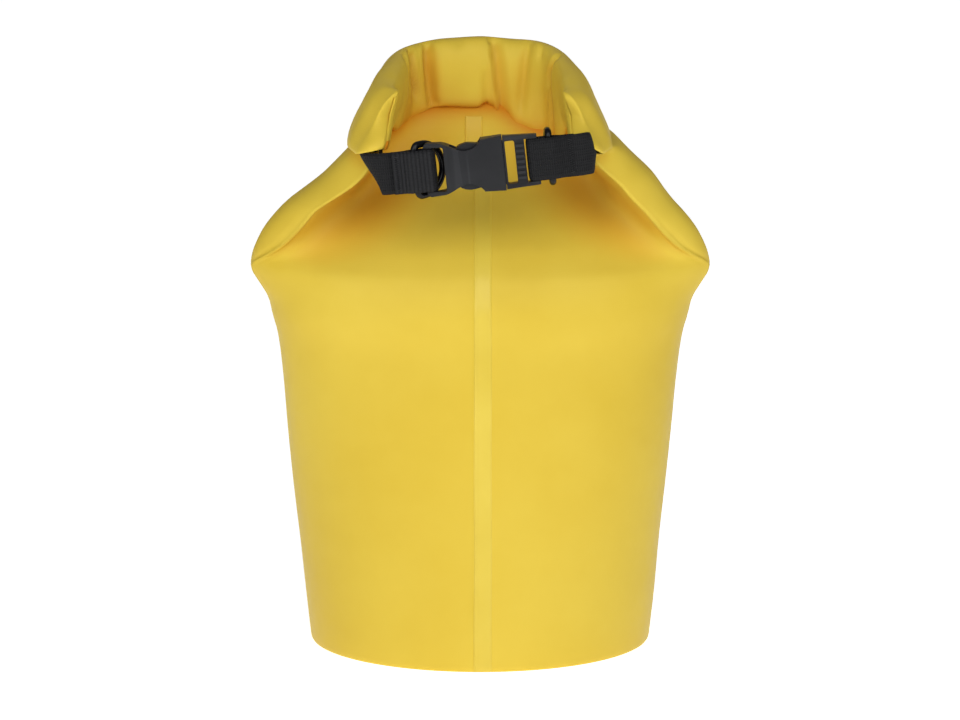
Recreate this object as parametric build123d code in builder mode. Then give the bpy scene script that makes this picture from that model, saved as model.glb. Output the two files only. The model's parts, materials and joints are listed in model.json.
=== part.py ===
from build123d import *
from math import cos, pi, radians, sin
import os

# A roll-top dry bag, filled and closed. Millimetres, +Z up, origin at the centre of the
# round base on the surface it stands on. The buckle side is the front and faces -Y.

# ---- bag tube -------------------------------------------------------------------------
BASE_RADIUS = 100.0
SHELL_WALL = 2.0            # coated fabric with the stiffness of its filling
CAVITY_TOP = 227.0          # above this the two fabric layers lie together
FABRIC = 1.0
WELD_GAP = 0.1
BASE_RIM_HEIGHT = 14.0
BASE_BAND_INNER_RADIUS = 80.0
SEAM_WIDTH = 10.0
SEAM_HEIGHT = 0.7
SEAM_TOP = 296.0

# Each station of the tube: height, half width, y of the two side edges, y of the front
# middle, y of the back middle, front exponent, back exponent, roundness (0.5 is an
# ellipse, 1 is a lens with pointed edges) and lean of the section in degrees.
STATIONS = [
    (0.0, 100.0, 0.0, -100.0, 100.0, 2.0, 2.0, 0.50, 0.0),
    (60.0, 106.5, -1.0, -94.0, 92.0, 2.0, 2.0, 0.50, 0.0),
    (120.0, 113.0, -3.0, -88.0, 85.0, 2.0, 2.0, 0.53, 0.0),
    (170.0, 117.5, -5.0, -82.0, 78.0, 2.0, 2.0, 0.60, 0.0),
    (200.0, 124.0, -8.0, -77.0, 73.0, 2.0, 2.0, 0.75, 0.0),
    (227.0, 136.5, -12.0, -67.0, 65.0, 2.0, 2.0, 0.95, 0.0),
    (246.0, 130.0, -21.0, -52.0, 60.0, 2.0, 2.2, 1.00, 1.0),
    (264.0, 115.0, -33.0, -33.0, 55.0, 2.0, 2.5, 1.00, 2.5),
    (284.0, 95.0, -46.0, -8.0, 49.0, 2.4, 3.0, 1.00, 4.0),
    (308.5, 70.0, -56.0, 17.0, 36.0, 3.2, 3.8, 1.00, 5.6),
]
SECTION_STEPS = 12

# ---- rolled mouth ---------------------------------------------------------------------
ROLL_LEAN = 5.6             # the roll's plane rises towards the back
ROLL_LEVEL = 331.0          # height of the roll's middle plane above the origin
ROLL_HEIGHT = 42.0
ROLL_THICKNESS = 20.0
ROLL_ROUND = 8.0
ROLL_ROUTE = [(49.0, -60.0), (58.5, -50.0), (45.0, 25.0)]
ROLL_BENDS = [12.0, 24.0]
CORE_HEIGHT = 28.0
CORE_THICKNESS = 5.4
STIFFENER_HEIGHT = 22.0
STIFFENER_THICKNESS = 1.0
WEBBING_WIDTH = 25.0
WEBBING_THICKNESS = 1.6

# ---- strap and buckle -----------------------------------------------------------------
# The strap frame has its origin in the mouth of the socket, X along the strap to the
# right, Y to the back and Z up across the strap.
STRAP_ORIGIN = (14.0, -84.0, 302.3)
STRAP_TILT = 6.0
LAYER_SPREAD = 3.3          # from the middle of the loop to the middle of one layer
SEWN_SPREAD = 0.95
SOCKET_BAR_X = -43.5
SOCKET_HALF_HEIGHT = 16.0
SOCKET_THICKNESS = 10.0
CHANNEL_HALF_HEIGHT = 13.2
CHANNEL_THICKNESS = 6.0
CHANNEL_DEPTH = 31.0
BAR_HALF_THICKNESS = 1.7
RUN_GAP = 0.35
FRAME_LENGTH = 20.4
FRAME_THICKNESS = 6.0
END_BAR_X = 17.7
LADDER_BAR_X = 10.0
PRONG_ROOT = (-7.5, 10.85)
PRONG_TIP_X = -28.0
PRONG_THICKNESS = 4.8
RING_WIRE_RADIUS = 2.1
RING_HALF_BAR = 15.1
RING_CORNER = 3.0
RING_REACH = 5.0            # straight part between the bar and the bow
LEFT_RING_X = -51.6
RIGHT_RING_X = 27.4
LEFT_RING_SWING = -50.0
RIGHT_RING_SWING = 4.0


def leaning_plane(height, lean):
    """A horizontal plane turned about X, so that it rises towards the back."""
    tilt = radians(lean)
    return Plane(origin=(0, 0, height), x_dir=(1, 0, 0), z_dir=(0, -sin(tilt), cos(tilt)))


STRAP_X = Vector(cos(radians(STRAP_TILT)), 0, sin(radians(STRAP_TILT)))
STRAP_Z = Vector(-sin(radians(STRAP_TILT)), 0, cos(radians(STRAP_TILT)))
strap_face = Plane(origin=STRAP_ORIGIN, x_dir=STRAP_X, z_dir=(0, -1, 0))
strap_plan = Plane(origin=STRAP_ORIGIN, x_dir=STRAP_X, z_dir=STRAP_Z)
roll_plane = leaning_plane(ROLL_LEVEL, ROLL_LEAN)


def save(part, label):
    """Label a finished piece and write it to its own file."""
    part.label = label
    export_step(part, "parts/" + label + ".step")


def panel_curve(half_width, edge_y, middle_y, exponent, roundness):
    """Points of the front or the back panel at one station, from edge to edge."""
    points = []
    for step in range(SECTION_STEPS + 1):
        side = sin(pi * (step / SECTION_STEPS - 0.5))
        rise = max(0.0, 1.0 - abs(side) ** exponent) ** roundness
        points.append((half_width * side, edge_y + (middle_y - edge_y) * rise))
    return points


def tube_section(station, grow):
    """One closed section of the bag tube, moved outwards by grow."""
    height, half_width, edge, front, back, front_power, back_power, roundness, lean = station
    reach = half_width + grow
    with BuildSketch(leaning_plane(height, lean)) as section:
        with BuildLine():
            Spline(*panel_curve(reach, edge, front - grow, front_power, roundness))
            Spline(*panel_curve(reach, edge, back + grow, back_power, roundness))
        make_face()
    return section


def tube_solid(grow, lowest, highest):
    """The bag's outer form grown by an amount, between two heights of its stations."""
    with BuildPart() as solid:
        for station in STATIONS:
            if lowest <= station[0] <= highest:
                add(tube_section(station, grow).sketch)
        loft(ruled=True)
    return solid


os.makedirs("parts", exist_ok=True)

# ---- bag body: one tube of coated fabric, open below, pressed flat under the roll ------
outer_form = tube_solid(0.0, 0.0, STATIONS[-1][0])
raised_form = tube_solid(SEAM_HEIGHT, 0.0, STATIONS[-1][0])
cavity_form = tube_solid(-SHELL_WALL, 0.0, CAVITY_TOP)
with BuildPart() as bag_body:
    add(outer_form.part)
    add(cavity_form.part, mode=Mode.SUBTRACT)
save(bag_body.part, "bag_body")

# ---- front weld: the band where the sheet's edges lap ----------------------------------
with BuildPart() as front_weld_seam:
    with BuildSketch(Plane.XY):
        with Locations((0, -BASE_RADIUS)):
            Rectangle(SEAM_WIDTH, 2.0 * BASE_RADIUS + 26.0)
    extrude(amount=SEAM_TOP)
    add(raised_form.part, mode=Mode.INTERSECT)
    add(outer_form.part, mode=Mode.SUBTRACT)
save(front_weld_seam.part, "front_weld_seam")

# ---- base: a disc with a turned-up rim, and the hem turned under and welded ------------
rim_outer_form = tube_solid(-SHELL_WALL - WELD_GAP, 0.0, STATIONS[1][0])
rim_inner_form = tube_solid(-SHELL_WALL - WELD_GAP - FABRIC, 0.0, STATIONS[1][0])
with BuildPart() as rim_hollow:
    with BuildSketch(Plane.XY.offset(2.0 * FABRIC)):
        Circle(BASE_RADIUS)
    extrude(amount=BASE_RIM_HEIGHT)
    add(rim_inner_form.part, mode=Mode.INTERSECT)
with BuildPart() as base_disc:
    with BuildSketch(Plane.XY.offset(FABRIC)):
        Circle(BASE_RADIUS)
    extrude(amount=FABRIC + BASE_RIM_HEIGHT)
    add(rim_outer_form.part, mode=Mode.INTERSECT)
    add(rim_hollow.part, mode=Mode.SUBTRACT)
save(base_disc.part, "base_disc")

with BuildPart() as base_weld_band:
    with BuildSketch(Plane.XY):
        Circle(BASE_RADIUS - SHELL_WALL - WELD_GAP)
        Circle(BASE_BAND_INNER_RADIUS, mode=Mode.SUBTRACT)
    extrude(amount=FABRIC)
    add(bag_body.part, mode=Mode.SUBTRACT)
save(base_weld_band.part, "base_weld_band")


# ---- rolled mouth and what lies in its core --------------------------------------------
def roll_route():
    """The C-shaped middle line of the roll, from its left end to its right end."""
    right = ROLL_ROUTE
    left = [(-x, y) for x, y in right]
    bends = ROLL_BENDS + ROLL_BENDS[::-1]
    with BuildLine(roll_plane) as route:
        FilletPolyline(*left, *right[::-1], radius=bends)
    return route.line


def roll_end_plane(route):
    """The plane across the roll's left end, with X up the roll and Y across it."""
    return Plane(origin=route @ 0, x_dir=roll_plane.z_dir, z_dir=route % 0)


ROUTE = roll_route()
END_PLANE = roll_end_plane(ROUTE)

with BuildPart() as rolled_mouth:
    with BuildSketch(END_PLANE):
        RectangleRounded(ROLL_HEIGHT, ROLL_THICKNESS, ROLL_ROUND)
        Rectangle(CORE_HEIGHT, CORE_THICKNESS, mode=Mode.SUBTRACT)
    sweep(path=ROUTE)
save(rolled_mouth.part, "rolled_mouth")

CORE_LAYERS = {
    "mouth_webbing": (WEBBING_WIDTH, WEBBING_THICKNESS, -1.5),
    "mouth_stiffener_front": (STIFFENER_HEIGHT, STIFFENER_THICKNESS, 0.3),
    "mouth_stiffener_back": (STIFFENER_HEIGHT, STIFFENER_THICKNESS, 1.8),
}
for layer_name, (layer_height, layer_thickness, layer_offset) in CORE_LAYERS.items():
    with BuildPart() as core_layer:
        with BuildSketch(END_PLANE):
            with Locations((0, layer_offset)):
                Rectangle(layer_height, layer_thickness)
        sweep(path=ROUTE)
    save(core_layer.part, layer_name)


# ---- webbing: a loop round a bar, two layers sewn together, then a tail -----------------
def webbing_loop(bar_x, away, tail_points, fold_end, fold_side):
    """Strap round a bar. away is the side it leaves to; fold_side is the folded layer's."""
    ring_clear = bar_x + away * 11.0
    sewn_start = bar_x + away * 17.0
    with BuildPart() as loop:
        with BuildSketch(strap_plan):
            with BuildLine():
                main = -fold_side
                Polyline(
                    *tail_points,
                    (fold_end, main * SEWN_SPREAD),
                    (sewn_start, main * SEWN_SPREAD),
                    (ring_clear, main * LAYER_SPREAD),
                    (bar_x, main * LAYER_SPREAD),
                )
                ThreePointArc(
                    (bar_x, main * LAYER_SPREAD),
                    (bar_x - away * LAYER_SPREAD, 0),
                    (bar_x, fold_side * LAYER_SPREAD),
                )
                Polyline(
                    (bar_x, fold_side * LAYER_SPREAD),
                    (ring_clear, fold_side * LAYER_SPREAD),
                    (sewn_start, fold_side * SEWN_SPREAD),
                    (fold_end, fold_side * SEWN_SPREAD),
                )
            trace(line_width=WEBBING_THICKNESS)
        extrude(amount=WEBBING_WIDTH / 2, both=True)
    return loop


left_webbing = webbing_loop(
    bar_x=SOCKET_BAR_X,
    away=-1,
    tail_points=[(-81.5, 22.0), (-80.0, 14.0), (-76.0, 7.5), (-71.0, 2.6)],
    fold_end=-65.5,
    fold_side=-1,
)
save(left_webbing.part, "left_webbing")

right_webbing = webbing_loop(
    bar_x=END_BAR_X,
    away=1,
    tail_points=[(53.5, 22.0), (52.5, 14.0), (49.5, 6.0), (45.6, 0.4)],
    fold_end=43.0,
    fold_side=1,
)
save(right_webbing.part, "right_webbing")


def bar_tack(centre_x, name):
    """Sewn thread blocks on both faces of a doubled strap."""
    outer_face = SEWN_SPREAD + WEBBING_THICKNESS / 2
    with BuildPart() as tack:
        for side in (-1, 1):
            with BuildSketch(strap_plan):
                with Locations((centre_x, side * (outer_face + 0.25))):
                    Rectangle(2.4, 0.4)
            extrude(amount=10.0, both=True)
    save(tack.part, name)


bar_tack(-62.4, "left_bar_tack")
bar_tack(39.8, "right_bar_tack")

# ---- buckle socket: flared arms with a bar, waist with side windows, boxed mouth --------
def bar_relief(bar_x):
    """What is cut away, front and back, so that a bar fits inside the webbing's loop."""
    with BuildPart() as relief:
        with BuildSketch(strap_plan):
            for side in (-1, 1):
                with Locations((bar_x, side * (BAR_HALF_THICKNESS + 2.5))):
                    Rectangle(6.0, 5.0)
        extrude(amount=WEBBING_WIDTH / 2 + RUN_GAP, both=True)
    return relief


socket_bar_relief = bar_relief(SOCKET_BAR_X)
end_bar_relief = bar_relief(END_BAR_X)

with BuildPart() as buckle_socket:
    with BuildSketch(strap_face):
        with BuildLine() as socket_outline:
            Line((0, -SOCKET_HALF_HEIGHT), (0, SOCKET_HALF_HEIGHT))
            Line((0, SOCKET_HALF_HEIGHT), (-12.5, 15.4))
            Spline((-12.5, 15.4), (-17.0, 11.2), (-22.5, 10.0), (-28.0, 11.8), (-36.0, 15.2))
            Line((-36.0, 15.2), (-43.5, 16.0))
            ThreePointArc((-43.5, 16.0), (-45.4, 15.2), (-46.2, 13.3))
            Line((-46.2, 13.3), (-46.2, -13.3))
            ThreePointArc((-46.2, -13.3), (-45.4, -15.2), (-43.5, -16.0))
            Line((-43.5, -16.0), (-36.0, -15.2))
            Spline((-36.0, -15.2), (-28.0, -11.8), (-22.5, -10.0), (-17.0, -11.2), (-12.5, -15.4))
            Line((-12.5, -15.4), (0, -SOCKET_HALF_HEIGHT))
        make_face()
    extrude(amount=SOCKET_THICKNESS / 2, both=True)
    # the channel that takes the plug
    with BuildSketch(strap_face):
        with Locations((-CHANNEL_DEPTH / 2, 0)):
            Rectangle(CHANNEL_DEPTH, 2 * CHANNEL_HALF_HEIGHT)
    extrude(amount=CHANNEL_THICKNESS / 2, both=True, mode=Mode.SUBTRACT)
    # side windows where the prongs are pressed
    with BuildSketch(strap_face):
        with Locations((-20.5, 14.0), (-20.5, -14.0)):
            Rectangle(16.0, 12.0)
    extrude(amount=CHANNEL_THICKNESS / 2, both=True, mode=Mode.SUBTRACT)
    # the arms are thinner than the body, front and back
    with BuildSketch(strap_plan):
        for side in (-1, 1):
            with BuildLine():
                Polyline(
                    (-50.0, side * 1.7),
                    (-45.0, side * 1.9),
                    (-40.0, side * 3.0),
                    (-33.0, side * 5.2),
                    (-50.0, side * 5.2),
                    close=True,
                )
            make_face()
    extrude(amount=20.0, both=True, mode=Mode.SUBTRACT)
    # the slot that the webbing passes through
    with BuildSketch(strap_face):
        with Locations((-38.5, 0)):
            RectangleRounded(7.6, 26.4, 1.5)
        with Locations((-47.0, 0)):
            Rectangle(3.8, 26.4)
    extrude(amount=SOCKET_THICKNESS, both=True, mode=Mode.SUBTRACT)
    add(socket_bar_relief.part, mode=Mode.SUBTRACT)
save(buckle_socket.part, "buckle_socket")

# ---- buckle plug frame: crossbar, guide tongue, rails, ladder bar and end bar -----------
with BuildPart() as buckle_plug_frame:
    with BuildSketch(strap_face):
        with BuildLine():
            Polyline(
                (RUN_GAP, -15.8),
                (RUN_GAP, 15.8),
                (FRAME_LENGTH, 14.8),
                (FRAME_LENGTH, -14.8),
                close=True,
            )
        make_face()
        with Locations((4.15, 0)):
            RectangleRounded(5.9, 25.6, 1.2, mode=Mode.SUBTRACT)
        with Locations((14.65, 0)):
            Rectangle(3.5, 25.9, mode=Mode.SUBTRACT)
    extrude(amount=FRAME_THICKNESS / 2, both=True)
    # the crossbar inside the socket's mouth
    with BuildSketch(strap_face):
        with Locations((-2.0, 0)):
            Rectangle(6.8, 2 * (CHANNEL_HALF_HEIGHT - RUN_GAP))
    extrude(amount=CHANNEL_THICKNESS / 2 - RUN_GAP, both=True)
    # the guide tongue between the prongs
    with BuildSketch(strap_face):
        with Locations((-14.5, 0)):
            RectangleRounded(21.0, 3.6, 1.0)
    extrude(amount=CHANNEL_THICKNESS / 2 - RUN_GAP, both=True)
    # teeth of the ladder bar
    with BuildSketch(strap_face):
        with GridLocations(0, 3.2, 1, 7):
            with Locations((LADDER_BAR_X, 0)):
                Rectangle(4.8, 1.5)
    extrude(amount=FRAME_THICKNESS / 2 + 0.8)
    add(end_bar_relief.part, mode=Mode.SUBTRACT)
save(buckle_plug_frame.part, "buckle_plug_frame")


# ---- release prongs: a knuckle, an arm and a lens-shaped pad ----------------------------
def release_prong(side, name):
    """One prong; side is 1 above the tongue and -1 below it."""
    root_x, root_z = PRONG_ROOT
    with BuildPart() as prong:
        with BuildSketch(strap_face):
            with BuildLine():
                Polyline(
                    (root_x, side * (root_z + 1.65)),
                    (root_x, side * (root_z - 1.65)),
                    (-14.0, side * 8.6),
                    (-25.0, side * 7.4),
                    (PRONG_TIP_X, side * 8.2),
                    (PRONG_TIP_X, side * 10.4),
                )
                Spline(
                    (PRONG_TIP_X, side * 10.4),
                    (-24.5, side * 13.1),
                    (-20.5, side * 13.9),
                    (-16.5, side * 13.45),
                    (-12.0, side * 12.75),
                    (root_x, side * (root_z + 1.65)),
                )
            make_face()
            with Locations((root_x, side * root_z)):
                Circle(1.65)
        extrude(amount=PRONG_THICKNESS / 2, both=True)
    save(prong.part, name)


release_prong(1, "upper_prong")
release_prong(-1, "lower_prong")


# ---- D-rings: a straight bar held in the webbing and a round bow behind it --------------
def d_ring(bar_x, swing, name):
    """A ring whose bar stands at bar_x; swing turns its bow about the bar."""
    centre = strap_plan.from_local_coords(Vector(bar_x, 0, 0))
    bow_way = Vector(0, 1, 0).rotate(Axis((0, 0, 0), STRAP_Z), swing)
    ring_plane = Plane(origin=centre, x_dir=bow_way, z_dir=bow_way.cross(STRAP_Z))
    straight = RING_HALF_BAR - RING_CORNER
    with BuildPart() as ring:
        with BuildLine(ring_plane) as ring_line:
            Line((0, -straight), (0, straight))
            first_bend = JernArc((0, straight), (0, 1), RING_CORNER, -90)
            upper_leg = Line(first_bend @ 1, (RING_REACH, RING_HALF_BAR))
            bow = JernArc(upper_leg @ 1, (1, 0), RING_HALF_BAR, -180)
            lower_leg = Line(bow @ 1, (RING_CORNER, -RING_HALF_BAR))
            JernArc(lower_leg @ 1, (-1, 0), RING_CORNER, -90)
        with BuildSketch(Plane(origin=centre, x_dir=bow_way, z_dir=STRAP_Z)):
            Circle(RING_WIRE_RADIUS)
        sweep(path=ring_line.line)
    save(ring.part, name)


d_ring(LEFT_RING_X, LEFT_RING_SWING, "left_d_ring")
d_ring(RIGHT_RING_X, RIGHT_RING_SWING, "right_d_ring")

print("roll middle line", round(sum(edge.length for edge in ROUTE.edges()), 1), "mm")
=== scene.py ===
import json
import math

import bpy
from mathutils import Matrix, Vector, noise
from mathutils.bvhtree import BVHTree


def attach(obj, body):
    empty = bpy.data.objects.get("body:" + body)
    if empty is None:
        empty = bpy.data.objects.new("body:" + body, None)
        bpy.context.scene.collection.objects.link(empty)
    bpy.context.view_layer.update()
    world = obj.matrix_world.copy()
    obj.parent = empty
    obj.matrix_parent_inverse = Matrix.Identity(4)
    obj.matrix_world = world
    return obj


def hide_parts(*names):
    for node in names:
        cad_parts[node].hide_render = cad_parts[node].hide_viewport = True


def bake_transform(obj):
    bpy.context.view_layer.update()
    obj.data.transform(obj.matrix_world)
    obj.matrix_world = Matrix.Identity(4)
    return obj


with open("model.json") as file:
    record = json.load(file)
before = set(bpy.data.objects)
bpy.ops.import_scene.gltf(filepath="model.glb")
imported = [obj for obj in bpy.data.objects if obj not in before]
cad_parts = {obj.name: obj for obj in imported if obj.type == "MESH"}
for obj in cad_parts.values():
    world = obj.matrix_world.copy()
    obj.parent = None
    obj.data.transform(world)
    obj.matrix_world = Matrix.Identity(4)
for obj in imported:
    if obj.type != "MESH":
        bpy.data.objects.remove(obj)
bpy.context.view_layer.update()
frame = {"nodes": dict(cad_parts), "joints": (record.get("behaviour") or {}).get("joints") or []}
MM = 0.001

# ---- Places taken from the frame. Lengths in this script are millimetres until a mesh is made.
JOINTS = {joint["name"]: joint for joint in frame["joints"]}
STRAP_X = Vector(JOINTS["buckle_release"]["axis"]).normalized()
STRAP_Z = Vector(JOINTS["right_ring_swing"]["axis"]).normalized()
STRAP_Y = Vector((0, 1, 0))
RIGHT_RING = Vector(JOINTS["right_ring_swing"]["pos_m"]) / MM
RIGHT_RING_X = 27.4        # where the right ring sits along the strap
STRAP_ORIGIN = RIGHT_RING - STRAP_X * RIGHT_RING_X
WEBBING_WIDTH = 25.0
WEBBING_THICKNESS = 1.6


def strap_point(along, back, up):
    """A point given along the strap, behind its middle plane and up across it."""
    return STRAP_ORIGIN + STRAP_X * along + STRAP_Y * back + STRAP_Z * up


# ---- Small helpers
def smoothstep(low, high, value):
    t = min(1.0, max(0.0, (value - low) / (high - low)))
    return t * t * (3.0 - 2.0 * t)


def fade(low, high, value):
    return 1.0 - smoothstep(low, high, value)


def bell(distance, width):
    return math.exp(-(distance / width) ** 2)


def mix(a, b, t):
    return a + (b - a) * t


CORNERS = ((-1, -1), (1, -1), (1, 1), (-1, 1))


def new_mesh(name, points, faces, materials=()):
    """A smooth-shaded mesh object from millimetre points."""
    mesh = bpy.data.meshes.new(name)
    mesh.from_pydata([Vector(p) * MM for p in points], [], faces)
    mesh.validate()
    for polygon in mesh.polygons:
        polygon.use_smooth = True
    for material in materials:
        mesh.materials.append(material)
    made = bpy.data.objects.new(name, mesh)
    bpy.context.scene.collection.objects.link(made)
    return made


def grid_faces(rows, columns, start=0, closed=False):
    """Quads of a grid of points stored row by row."""
    faces = []
    last = columns if closed else columns - 1
    for row in range(rows - 1):
        for column in range(last):
            a = start + row * columns + column
            b = start + row * columns + (column + 1) % columns
            faces.append((a, b, b + columns, a + columns))
    return faces


def hermite(start, start_slope, end, end_slope, gap, t):
    """A point between two points with given slopes. t runs from 0 to 1 over the gap."""
    a = 2 * t ** 3 - 3 * t ** 2 + 1
    b = t ** 3 - 2 * t ** 2 + t
    c = -2 * t ** 3 + 3 * t ** 2
    d = t ** 3 - t ** 2
    return start * a + start_slope * (gap * b) + end * c + end_slope * (gap * d)


def spline_sample(knots, points, value):
    """Smooth curve through points at rising knots, by finite-difference Hermite pieces."""
    count = len(knots)
    if value <= knots[0]:
        return points[0]
    if value >= knots[-1]:
        return points[-1]
    index = 0
    while knots[index + 1] < value:
        index += 1

    def slope(i):
        low = max(0, i - 1)
        high = min(count - 1, i + 1)
        return (points[high] - points[low]) / (knots[high] - knots[low])

    gap = knots[index + 1] - knots[index]
    t = (value - knots[index]) / gap
    return hermite(points[index], slope(index), points[index + 1], slope(index + 1), gap, t)


# ---- Node materials
class Nodes:
    """A short way to wire a material."""

    def __init__(self, name):
        self.material = bpy.data.materials.new(name)
        self.material.use_nodes = True
        self.tree = self.material.node_tree
        self.shader = self.tree.nodes["Principled BSDF"]
        self.coordinates = self.tree.nodes.new("ShaderNodeTexCoord").outputs["Object"]

    def add(self, kind, inputs=None, **settings):
        node = self.tree.nodes.new(kind)
        for key, value in settings.items():
            setattr(node, key, value)
        self.fill(node, inputs or {})
        return node

    def fill(self, node, inputs):
        for key, value in inputs.items():
            self.put(node.inputs[key], value)

    def shade(self, inputs):
        """Set or wire the shader's own sockets."""
        self.fill(self.shader, inputs)

    def put(self, socket, value):
        if isinstance(value, bpy.types.NodeSocket):
            self.tree.links.new(value, socket)
        else:
            socket.default_value = value

    def noise(self, scale, detail=3.0, roughness=0.5):
        return self.add("ShaderNodeTexNoise", {
            "Vector": self.coordinates, "Scale": scale,
            "Detail": detail, "Roughness": roughness}).outputs["Fac"]

    def ramp(self, value, low, high, from_low=0.0, from_high=1.0):
        return self.add("ShaderNodeMapRange", {
            "Value": value, "From Min": from_low, "From Max": from_high,
            "To Min": low, "To Max": high}).outputs["Result"]

    def math(self, operation, a, b=0.0):
        node = self.add("ShaderNodeMath", operation=operation)
        self.put(node.inputs[0], a)
        self.put(node.inputs[1], b)
        return node.outputs[0]

    def blend(self, factor, a, b):
        node = self.add("ShaderNodeMix", data_type="RGBA")
        self.put(node.inputs["Factor"], factor)
        self.put(node.inputs["A"], a)
        self.put(node.inputs["B"], b)
        return node.outputs["Result"]

    def bump(self, height, distance, strength=1.0, under=None):
        inputs = {"Height": height, "Distance": distance, "Strength": strength}
        if under is not None:
            inputs["Normal"] = under
        return self.add("ShaderNodeBump", inputs).outputs["Normal"]


# painted shade: the orange colour that stands in for the shade deep in the folds
PAINTED_SHADE_COLOUR = (0.54, 0.20, 0.008, 1)   # what the fabric's colour turns towards deep in a fold


def bag_fabric():
    """Satin PVC coating over a light weave: smooth, faintly mottled, softly scuffed, with painted
    orange shade deep in its folds.
    """
    n = Nodes("pvc_coated_fabric")
    clouds = n.noise(9.0, 4.0, 0.55)
    patches = n.noise(38.0, 3.0, 0.5)
    tone = n.blend(n.ramp(clouds, 0.0, 1.0, 0.35, 0.65),
                   (0.615, 0.434, 0.042, 1), (0.665, 0.488, 0.058, 1))
    tone = n.blend(n.ramp(patches, 0.0, 0.16, 0.45, 0.75), tone, (0.585, 0.402, 0.034, 1))
    # painted shade: the colour turns orange where the measured fold depth is high
    depth = n.add("ShaderNodeAttribute", attribute_name="painted_shade_amount").outputs["Fac"]
    tone = n.blend(n.ramp(depth, 0.0, 1.0, 0.10, 0.56), tone, PAINTED_SHADE_COLOUR)
    scuffs = n.noise(160.0, 5.0, 0.65)
    gloss = n.math("ADD", n.ramp(clouds, -0.03, 0.03, 0.3, 0.7),
                   n.ramp(scuffs, 0.43, 0.53, 0.3, 0.7))
    bands = {"Vector": n.coordinates, "Scale": 260.0, "Distortion": 1.2, "Detail": 1.0}
    weft = n.add("ShaderNodeTexWave", bands, wave_type="BANDS", bands_direction="Z").outputs["Fac"]
    warp = n.add("ShaderNodeTexWave", bands, wave_type="BANDS", bands_direction="X").outputs["Fac"]
    weave = n.bump(n.math("ADD", weft, warp), 0.00002, 0.35)
    grain = n.bump(n.noise(900.0, 2.0, 0.6), 0.00003, 0.35, weave)
    pulled = n.bump(n.noise(24.0, 2.0, 0.5), 0.0012, 0.22, grain)
    n.shade({"Base Color": tone, "Roughness": gloss, "Normal": pulled, "IOR": 1.4,
             "Specular IOR Level": 0.12, "Coat Weight": 0.05, "Coat Roughness": 0.32})
    return n.material


def weld_fabric():
    """The same coating where it was pressed hot: a little glossier, with a fine press grain and
    painted shade near the top.
    """
    n = Nodes("pvc_welded_band")
    clouds = n.noise(14.0, 4.0, 0.55)
    tone = n.blend(n.ramp(clouds, 0.0, 1.0, 0.35, 0.65),
                   (0.625, 0.460, 0.046, 1), (0.675, 0.512, 0.064, 1))
    # painted shade: the colour turns orange by the stored shade amount
    depth = n.add("ShaderNodeAttribute", attribute_name="painted_shade_amount").outputs["Fac"]
    tone = n.blend(depth, tone, PAINTED_SHADE_COLOUR)
    gloss = n.ramp(n.noise(220.0, 4.0, 0.6), 0.30, 0.42, 0.3, 0.7)
    grain = n.bump(n.noise(700.0, 2.0, 0.6), 0.00004, 0.4)
    n.shade({"Base Color": tone, "Roughness": gloss, "Normal": grain,
             "Specular IOR Level": 0.3, "Coat Weight": 0.06, "Coat Roughness": 0.3})
    return n.material


def webbing_weave(name, along_scale, across_scale, height, light):
    """Black woven strap, with painted highlights on the crests of its threads. The weave runs on the
    strap's own map: U along it, V across it.
    """
    n = Nodes(name)
    uv = n.add("ShaderNodeUVMap", uv_map="strap").outputs["UV"]
    parts = n.add("ShaderNodeSeparateXYZ", {"Vector": uv})
    along = n.math("MULTIPLY", parts.outputs["X"], along_scale)
    across = n.math("MULTIPLY", parts.outputs["Y"], across_scale)
    rib = n.math("ABSOLUTE", n.math("SINE", along))
    cord = n.math("ABSOLUTE", n.math("SINE", across))
    slanted = n.math("ADD", along, n.math("MULTIPLY", across, 0.5))
    shift = n.math("ABSOLUTE", n.math("SINE", slanted))
    cords = n.math("ADD", n.math("MULTIPLY", cord, 0.6), 0.4)
    threads = n.math("MULTIPLY", n.math("POWER", rib, 0.6), cords)
    fuzz = n.noise(1800.0, 3.0, 0.7)
    # painted highlight: the crests of the threads are coloured lighter
    tone = n.blend(threads, (0.0010, 0.0010, 0.0014, 1), (light, light * 1.03, light * 1.15, 1))
    tone = n.blend(n.ramp(fuzz, 0.0, 0.35, 0.4, 0.8), tone, (0.008, 0.0085, 0.010, 1))
    body = n.math("ADD", threads, n.math("MULTIPLY", shift, 0.35))
    weave = n.bump(body, height, 0.9)
    n.shade({"Base Color": tone, "Roughness": n.ramp(fuzz, 0.5, 0.75), "Specular IOR Level": 0.2,
             "Normal": n.bump(fuzz, 0.00008, 0.5, weave)})
    return n.material


def thread_material():
    n = Nodes("bonded_thread")
    twist = n.add("ShaderNodeTexWave", {"Vector": n.coordinates, "Scale": 900.0, "Distortion": 0.5},
                  wave_type="BANDS", bands_direction="DIAGONAL").outputs["Fac"]
    tone = n.blend(twist, (0.002, 0.002, 0.003, 1), (0.02, 0.02, 0.024, 1))
    n.shade({"Base Color": tone, "Roughness": n.ramp(twist, 0.35, 0.6),
             "Normal": n.bump(twist, 0.00008, 0.8)})
    return n.material


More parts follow.
